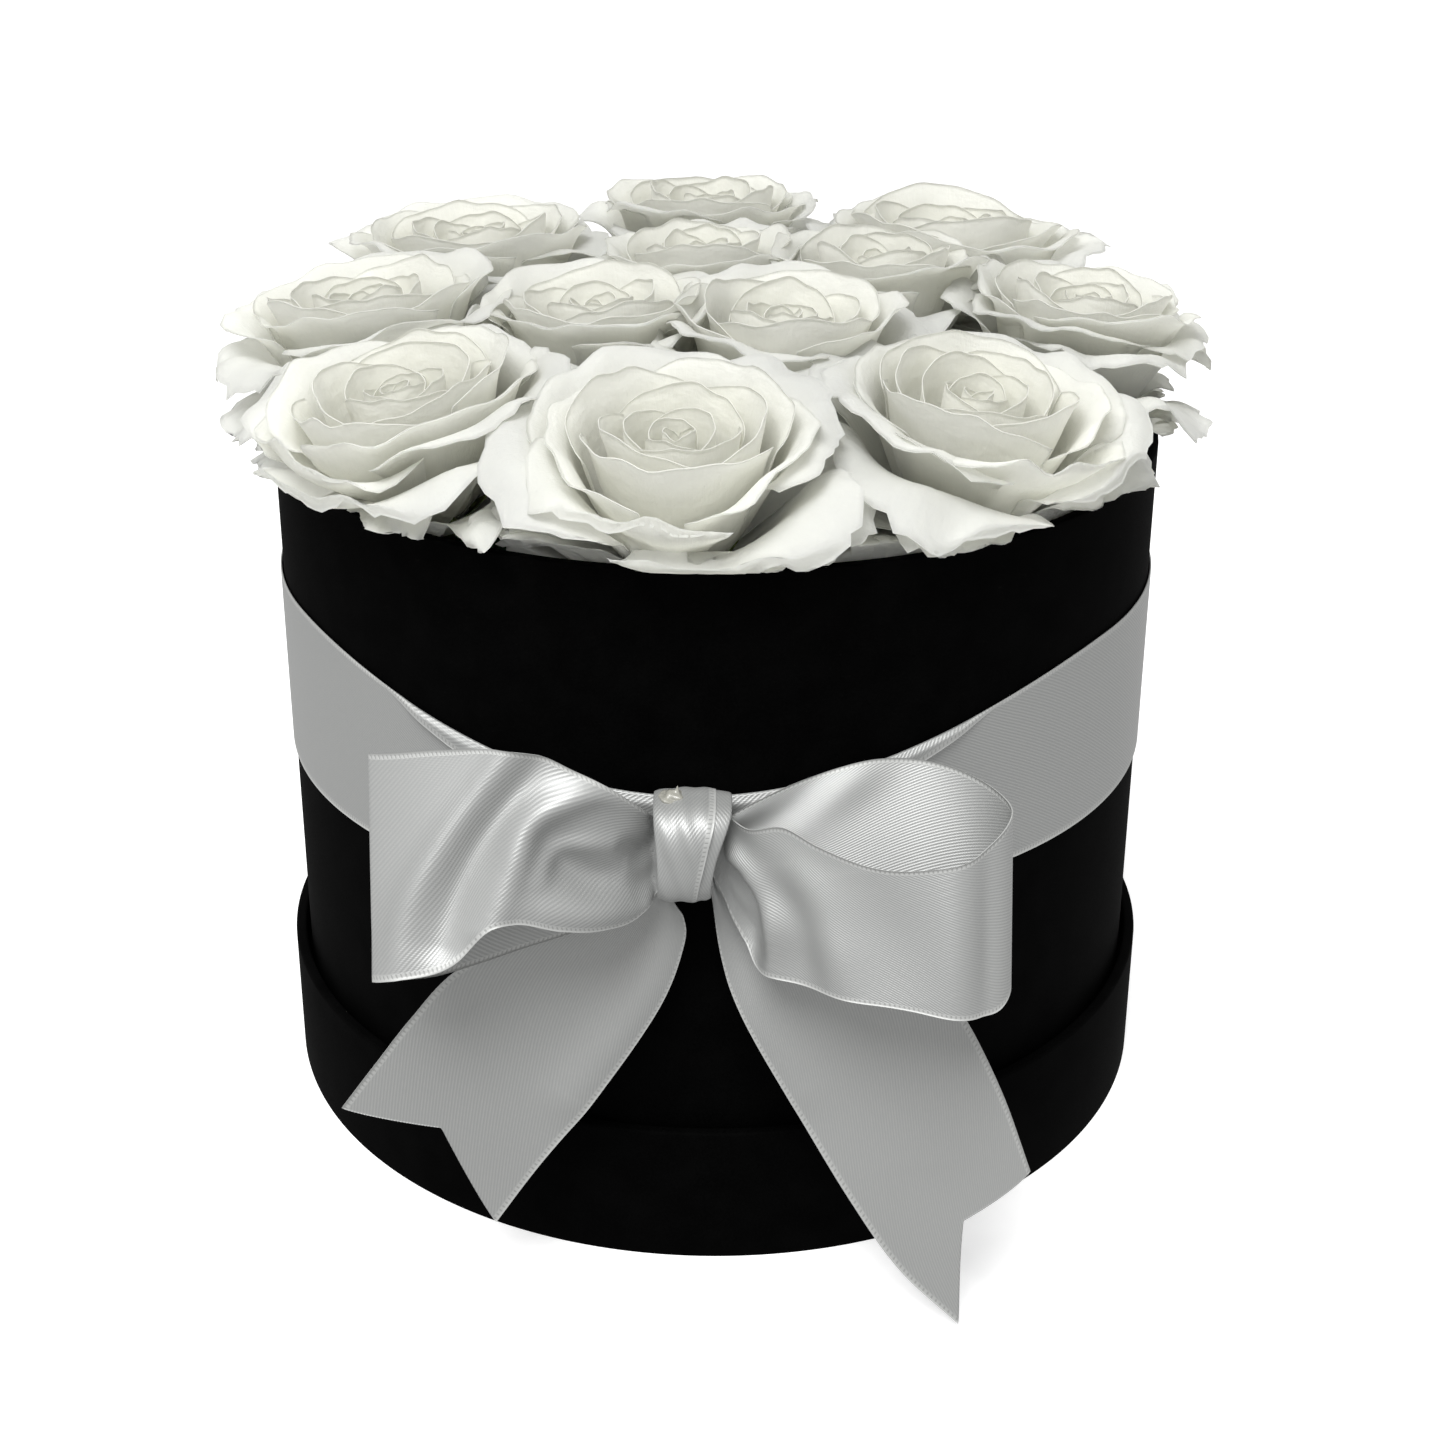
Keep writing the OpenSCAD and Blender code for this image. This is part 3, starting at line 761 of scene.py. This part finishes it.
# Folds: on the back layer or not, a line of points (mm from the knot, height), push outward, spread
LEFT_FOLDS = (
    (False, [(24, 129), (31, 117), (38, 105), (45, 90), (48, 74)], 2.8, 2.6),
    (False, [(20, 124), (29, 113), (35.5, 100), (39, 84)], -2.4, 2.8),
    (False, [(0, 109), (9.5, 115.5), (17.5, 114), (23, 109), (26.5, 99), (30, 87)], 3.2, 2.3),
    (False, [(19, 107), (15.5, 101), (10, 97.5), (4, 97)], -3.2, 3.0),
    (False, [(3, 90), (12, 90), (22, 92)], 1.8, 3.0),
    (False, [(8, 104), (17, 104.5), (21, 98)], 1.2, 1.6),
)
RIGHT_FOLDS = (
    (False, [(0, 101), (5, 96.5), (9, 88), (9.5, 77)], 3.0, 1.9),
    (False, [(2.5, 96), (4.5, 90), (4.5, 82)], -3.4, 2.2),
    (False, [(6, 106), (14, 97), (19, 86), (23, 76)], 1.8, 3.4),
    (False, [(10, 101), (15, 90), (16, 78)], -1.4, 2.6),
    (False, [(25, 103), (30, 90), (32, 76)], -1.2, 5.0),
    (False, [(42.5, 108), (43, 90), (43, 71)], 1.6, 3.2),
    (False, [(48.5, 109), (48.8, 90), (48.8, 71)], -1.1, 1.9),
    (True, [(14, 104), (24, 111), (31, 118)], -1.1, 3.4),
    (True, [(8, 104), (15, 108), (20, 114)], 0.9, 2.8),
)


def tail_grid(inner, outer, depth, notch, notch_at, folds, rows, columns):
    """A tail of ribbon between its two edges, each a line of front-view points that are read at the
    same share of their length, with a V notch cut into its end and folds pushed forward."""
    a, _ = even(through([(k, *p) for k, p in enumerate(inner)], np.linspace(0, len(inner) - 1, 300)), rows)
    b, _ = even(through([(k, *p) for k, p in enumerate(outer)], np.linspace(0, len(outer) - 1, 300)), rows)
    u = np.linspace(0, 1, rows)[:, None]
    v = np.linspace(0, 1, columns)[None, :]
    side = np.where(v < notch_at, v / notch_at, (1 - v) / (1 - notch_at))
    cut = notch * side**1.15
    read = u * (1 - cut)
    at = read * (rows - 1)
    low = np.clip(at.astype(int), 0, rows - 2)
    f = (at - low)[..., None]
    edge_a = a[low] * (1 - f) + a[low + 1] * f
    edge_b = b[low] * (1 - f) + b[low + 1] * f
    flat = edge_a * (1 - v[..., None]) + edge_b * v[..., None]
    y = through(depth, read)
    for line, height, spread in folds:
        y = y - ridge(flat[..., 0], flat[..., 1], line, height, spread)
    gather = np.exp(-read / 0.06) * 1.0 * np.sin(2 * math.pi * 2.2 * v + 0.7)
    y = y + gather
    return np.stack([flat[..., 0], y, flat[..., 1]], -1), read


def knot_grid(rows, columns, width):
    """The strip that closes the bow: round the waists of the loops, folded in three across. Its
    upper layer ends in a slanting selvedge over the second one, which is a little wider."""
    turn = math.pi + np.linspace(0, 2 * math.pi, rows, endpoint=False)[:, None]
    v = np.linspace(0, 1, columns)[None, :]
    c, s = np.cos(turn), np.sin(turn)
    depth_half, height_half = 6.6, 9.4
    power = 0.66
    y0 = -np.sign(c) * np.abs(c) ** power
    z0 = np.sign(s) * np.abs(s) ** power
    high = (z0 + 1) / 2
    left = -11.9 + 0.9 * (1 - high) ** 3 + 0.7 * (1 - z0**2)
    right = -0.9 + 4.0 * high**1.3 - 0.7 * (1 - z0**2)
    selvedge = -3.9 + 4.0 * high**1.2
    lap = np.array([0, 0.265, 0.295, 0.62, 0.65, 1.0])
    corners = (selvedge, left + 0.2, left, right, right - 0.2, left + 2.5)
    across = np.concatenate(np.broadcast_arrays(*corners), 1)
    level = np.array([0.95, 0.95, 0.35, 0.35, -0.3, -0.3])
    k = np.clip(np.searchsorted(lap, v[0], side="right") - 1, 0, 4)
    f = (v[0] - lap[k]) / (lap[k + 1] - lap[k])
    x = across[:, k] * (1 - f) + across[:, k + 1] * f
    offset = level[k] * (1 - smooth(f)) + level[k + 1] * smooth(f)
    middle = (left + right) / 2
    belly = 1.6 * (1 - ((x - middle) / 7.6) ** 2)
    pleat = 0.2 * np.sin((x * 1.0 + z0 * 3.2) * 1.5) * (v < 0.28)
    lobes = np.exp(-((x + 4.2) ** 2) / 1.2) + 0.7 * np.exp(-((x + 1.9) ** 2) / 1.2)
    lobes = 1.1 * smooth(-z0 * 4 - 3) * lobes * (v > 0.3)
    grow = offset[None, :] + belly + pleat + lobes
    y = KNOT_Y + y0 * (depth_half + np.where(y0 < 0, grow, 0.2 * grow))
    z = 101.4 + z0 * (height_half + 0.5 * grow - 0.5) + 1.1 * y0 * z0 * (z0 > 0)
    return np.stack([x, y, z + 0 * x], -1), v * width


def finish_ribbon(piece, node):
    """Makes a ribbon piece ride on the box and stand for its CAD node."""
    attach(piece, "box")
    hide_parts(node)
    return piece


# ---------------------------------------------------------------- operators


class FLOWERBOX_OT_card(bpy.types.Operator):
    """Covers the drum and its lid in black paper with turned edges, and gives the boards their grain"""

    bl_idname = "flower_box.card"
    bl_label = "Box and lid"

    def execute(self, context):
        s = context.scene.flower_box_card
        paper = grain_material("black_cover_paper", "#010101", "#050505", 0.0004, 0.78, 0.02, 0.00005)
        lining = grain_material("black_lining_paper", "#0c0c0c", "#151515", 0.0005, 0.8, 0.15, 0.00004)
        board = grain_material("greyboard", "#7d766a", "#978f82", 0.0006, 0.88, 0.2, 0.00006)
        edge = s.edge * 1000
        out_r, board_r, lined_r, in_r, foot, turn_in = 100.0, 99.7, 97.6, BOX_IN_R, 2.75, 14
        profile = [
            (board_r, foot), (out_r, foot), (out_r, 60), (out_r, RIM_Z), (in_r, RIM_Z),
            (in_r, RIM_Z - turn_in), (lined_r, RIM_Z - turn_in), (lined_r, RIM_Z - 0.3),
            (board_r, RIM_Z - 0.3), (board_r, 60),
        ]

        def seam(r, z, angle):
            """The paper laps over itself at the back, and its turned-in edge has small tucks."""
            lap = smooth((0.06 - np.abs(angle - math.pi / 2)) / 0.004)
            outside = r > out_r - 0.05
            tucks = 0.08 * np.sin(angle * 90) * ((r < in_r + 0.01) & (z < RIM_Z - 3))
            return r - 0.12 * (1 - lap) * outside + tucks, z

        cover = lathe("box_cover", rounded(profile, edge), s.segments, paper, seam)
        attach(cover, "box")
        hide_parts("box_wrap")
        lid_h, lid_out, lid_board, lid_lined, lid_in = 31.0, 103.4, 103.1, 101.2, 100.9
        profile = [
            (lid_board, 0.0), (lid_out, 0.0), (lid_out, 15), (lid_out, lid_h), (lid_in, lid_h),
            (lid_in, lid_h - 10), (lid_lined, lid_h - 10), (lid_lined, lid_h - 0.3),
            (lid_board, lid_h - 0.3), (lid_board, 15),
        ]
        cover = lathe("lid_cover", rounded(profile, edge), s.segments, paper)
        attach(cover, "lid")
        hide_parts("lid_wrap")
        looks = {"lid_top_paper": paper, "box_base_paper": paper}
        boards = ("lid_wall_board", "lid_top_board", "box_wall_board", "box_base_board")
        looks.update(dict.fromkeys(boards, board))
        for part in ("lid", "box"):
            looks.update({f"{part}_lining_strip": lining, f"{part}_lining_disc": lining})
        dress(looks)
        return {"FINISHED"}


def dress(looks):
    """Gives CAD nodes their materials."""
    for name, material in looks.items():
        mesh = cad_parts[name].data
        mesh.materials.clear()
        mesh.materials.append(material)


class FLOWERBOX_OT_ribbon(bpy.types.Operator):
    """Ties the satin ribbon round the drum, with two loops, two notched tails, a knot and a dab of glue"""

    bl_idname = "flower_box.ribbon"
    bl_label = "Ribbon and bow"

    def execute(self, context):
        s = context.scene.flower_box_ribbon
        width, thick = s.width * 1000, s.thickness * 1000
        satin = satin_material(width)
        rows, columns = s.rows, s.columns

        grid, across = band_grid(columns, width)
        band = ribbon_piece("ribbon_band_satin", grid, satin, thick, across, wrap_rows=True)
        finish_ribbon(band, "ribbon_band")

        even_across = np.linspace(0, width, columns)[None, :]
        lean = (-0.04, 118, [(0, 0), (0.3, 0.2), (0.6, 0.38), (1, 0.46)], [(0, 0), (0.5, 0.2), (1, 0.46)])
        grid = loop_grid(-1, 53, 22, 0.0, 0.8, 0.45, lean, LEFT_EDGES, LEFT_FOLDS, rows, columns)
        left = ribbon_piece("bow_loop_left_satin", grid, satin, thick, even_across, shear=-0.35)
        finish_ribbon(left, "bow_loop_left")

        lean = (0.0, 112, [(0, 0), (0.3, 0.16), (1, 0.28)], [(0, 0), (0.2, 0.32), (0.7, 0.44), (1, 0.28)])
        grid = loop_grid(1, 54, 32, 0.1, 0.0, 0.9, lean, RIGHT_EDGES, RIGHT_FOLDS, rows, columns)
        right = ribbon_piece("bow_loop_right_satin", grid, satin, thick, even_across, shear=0.1)
        finish_ribbon(right, "bow_loop_right")

        inner = [
            (-8.4, 98), (-8.6, 88), (-6.2, 83), (-6.3, 77),
            (-11.1, 64), (-23.2, 46), (-35.4, 31), (-44.6, 17.9),
        ]
        outer = [
            (-10.5, 98), (-12, 88), (-23, 83), (-37, 79),
            (-51, 73.5), (-60.2, 64.4), (-67.5, 55), (-74.4, 45.6),
        ]
        depth = [(0, -103), (0.2, -103.2), (0.35, -104.5), (0.55, -108), (0.78, -113), (1, -115)]
        folds = (
            ([(-8, 84), (-11, 73), (-18, 60), (-28, 46)], 3.0, 4.2),
            ([(-30, 78), (-38, 66), (-46, 53)], -0.8, 7.0),
        )
        grid, read = tail_grid(inner, outer, depth, 0.105, 0.53, folds, rows, columns)
        tail = ribbon_piece("bow_tail_left_satin", grid, satin, thick, even_across, read=read)
        finish_ribbon(tail, "bow_tail_left")

        inner = [
            (-1.2, 98), (-0.7, 88), (1.2, 75), (5, 64.4), (15, 46.7), (27.2, 26.8), (37.5, 12.4), (49.2, 2.4),
        ]
        outer = [(0.8, 98), (1.5, 90), (17, 86), (32, 82), (42.6, 76), (49.1, 68), (56, 54.5), (61.7, 39.5)]
        depth = [(0, -103.5), (0.2, -105), (0.32, -109), (0.5, -114), (0.72, -120), (0.88, -123.6), (1, -127)]
        folds = (([(3, 78), (8, 64), (16, 50)], 1.3, 4.0), ([(30, 72), (34, 54), (40, 36)], -0.9, 8.0))
        grid, read = tail_grid(inner, outer, depth, 0.085, 0.45, folds, rows, columns)
        tail = ribbon_piece("bow_tail_right_satin", grid, satin, thick, even_across, read=read)
        finish_ribbon(tail, "bow_tail_right")

        grid, across = knot_grid(160, 97, width)
        knot = ribbon_piece("bow_knot_satin", grid, satin, thick, across, wrap_rows=True)
        finish_ribbon(knot, "bow_knot")

        self.glue()
        return {"FINISHED"}

    def glue(self):
        """The dab of hot glue over the knot: a lump with a drawn-out point."""
        bpy.ops.mesh.primitive_ico_sphere_add(subdivisions=5, radius=1)
        dab = bpy.context.active_object
        dab.name = dab.data.name = "bow_glue_lump"
        co = np.zeros(len(dab.data.vertices) * 3)
        dab.data.vertices.foreach_get("co", co)
        co = co.reshape(-1, 3)
        x, y, z = co.T
        lump = 1 + 0.12 * np.sin(5 * x + 1) * np.cos(4 * y) + 0.08 * np.sin(9 * z + 4 * x)
        point = 1.5 * np.exp(-((x - 0.45) ** 2 + y**2) / 0.03) * (z > 0)
        place = np.array([-8.4, -107.4, 110.8]) + np.stack(
            [2.7 * x * lump, 2.4 * y * lump, (1.7 * z + point) * lump], 1
        )
        dab.data.vertices.foreach_set("co", (place / 1000).ravel())
        dab.data.polygons.foreach_set("use_smooth", np.ones(len(dab.data.polygons), bool))
        dab.data.update()
        dab.data.materials.append(glue_material())
        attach(dab, "box")
        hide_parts("bow_glue_dab")


class FLOWERBOX_OT_roses(bpy.types.Operator):
    """Builds the petals of the twelve roses, and gives the foam, stems and sepals their looks"""

    bl_idname = "flower_box.roses"
    bl_label = "Roses"

    def execute(self, context):
        petal = petal_material()
        sepal = plant_material("dried_sepal", "#5f7040", "#8b9862", 0.3)
        stem = plant_material("cut_stem", "#6b7a45", "#93a066", 0.08)
        for k in range(len(ROSES)):
            build_rose(k, petal)
        looks = {"foam_block": foam_material()}
        for k in range(1, len(ROSES) + 1):
            looks[f"rose_{k:02d}_calyx"] = sepal
            looks[f"rose_{k:02d}_stem"] = stem
        dress(looks)
        return {"FINISHED"}


class FLOWERBOX_OT_stage(bpy.types.Operator):
    """Sets a pale floor, soft light from above and the camera"""

    bl_idname = "flower_box.stage"
    bl_label = "Stage"

    def execute(self, context):
        s = context.scene.flower_box_stage
        scene = context.scene
        bpy.ops.mesh.primitive_plane_add(size=8, location=(0, 0, 0))
        floor = context.active_object
        floor.name = "floor"
        pale = grain_material(
            "pale_floor", "#ededed", "#f3f3f3", 0.004, 0.9, 0.1, 0.00001,
            Emission_Color=(1, 1, 1, 1), Emission_Strength=0.45,
        )
        floor.data.materials.append(pale)
        floor.visible_diffuse = floor.visible_glossy = False
        world = bpy.data.worlds.new("soft_light")
        world.use_nodes = True
        world.node_tree.nodes["Background"].inputs["Color"].default_value = (1, 1, 1, 1)
        world.node_tree.nodes["Background"].inputs["Strength"].default_value = s.fill
        scene.world = world
        lamp = bpy.data.lights.new("key", "AREA")
        lamp.shape = "DISK"
        lamp.size = 0.9
        lamp.energy = s.key
        lamp_object = bpy.data.objects.new("key", lamp)
        scene.collection.objects.link(lamp_object)
        lamp_object.location = (-0.25, -0.72, 1.3)
        lamp_object.rotation_euler = Vector((-0.25, -0.65, 1.15)).to_track_quat("Z", "Y").to_euler()
        camera = bpy.data.cameras.new("camera")
        camera.lens = 54.435
        camera.sensor_width = 36
        camera.shift_x = 0.0012
        camera.shift_y = -0.09
        camera.clip_start = 0.01
        eye = bpy.data.objects.new("camera", camera)
        scene.collection.objects.link(eye)
        pitch, yaw, roll = 0.3832, 0.0023, 0.0032
        turned = Matrix.Rotation(-yaw, 4, "Z") @ Matrix.Rotation(math.pi / 2 - pitch, 4, "X")
        turned = turned @ Matrix.Rotation(roll, 4, "Z")
        eye.matrix_world = Matrix.Translation((0, -0.4808, 0.30407)) @ turned
        scene.camera = eye
        scene.view_settings.view_transform = "Standard"
        return {"FINISHED"}


class FLOWERBOX_PT_panel(bpy.types.Panel):
    """Lists the sizes and operators of the flower box"""

    bl_label = "Flower box"
    bl_space_type = "VIEW_3D"
    bl_region_type = "UI"
    bl_category = "Flower box"

    def draw(self, context):
        for group in ("flower_box_card", "flower_box_ribbon", "flower_box_roses", "flower_box_stage"):
            box = self.layout.box()
            settings = getattr(context.scene, group)
            for name in settings.__annotations__:
                box.prop(settings, name)
            box.operator(group.replace("_box_", "_box.", 1))


GROUPS = {
    "flower_box_card": FlowerBoxCard,
    "flower_box_ribbon": FlowerBoxRibbon,
    "flower_box_roses": FlowerBoxRoses,
    "flower_box_stage": FlowerBoxStage,
}
CLASSES = (
    *GROUPS.values(),
    FLOWERBOX_OT_card,
    FLOWERBOX_OT_ribbon,
    FLOWERBOX_OT_roses,
    FLOWERBOX_OT_stage,
    FLOWERBOX_PT_panel,
)


def register():
    for c in CLASSES:
        bpy.utils.register_class(c)
    for name, group in GROUPS.items():
        setattr(bpy.types.Scene, name, PointerProperty(type=group))


def unregister():
    for name in GROUPS:
        delattr(bpy.types.Scene, name)
    for c in reversed(CLASSES):
        bpy.utils.unregister_class(c)


def main():
    """Registers the add-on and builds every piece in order."""
    register()
    bpy.ops.flower_box.card()
    bpy.ops.flower_box.ribbon()
    bpy.ops.flower_box.roses()
    bpy.ops.flower_box.stage()


if __name__ == "__main__":
    main()
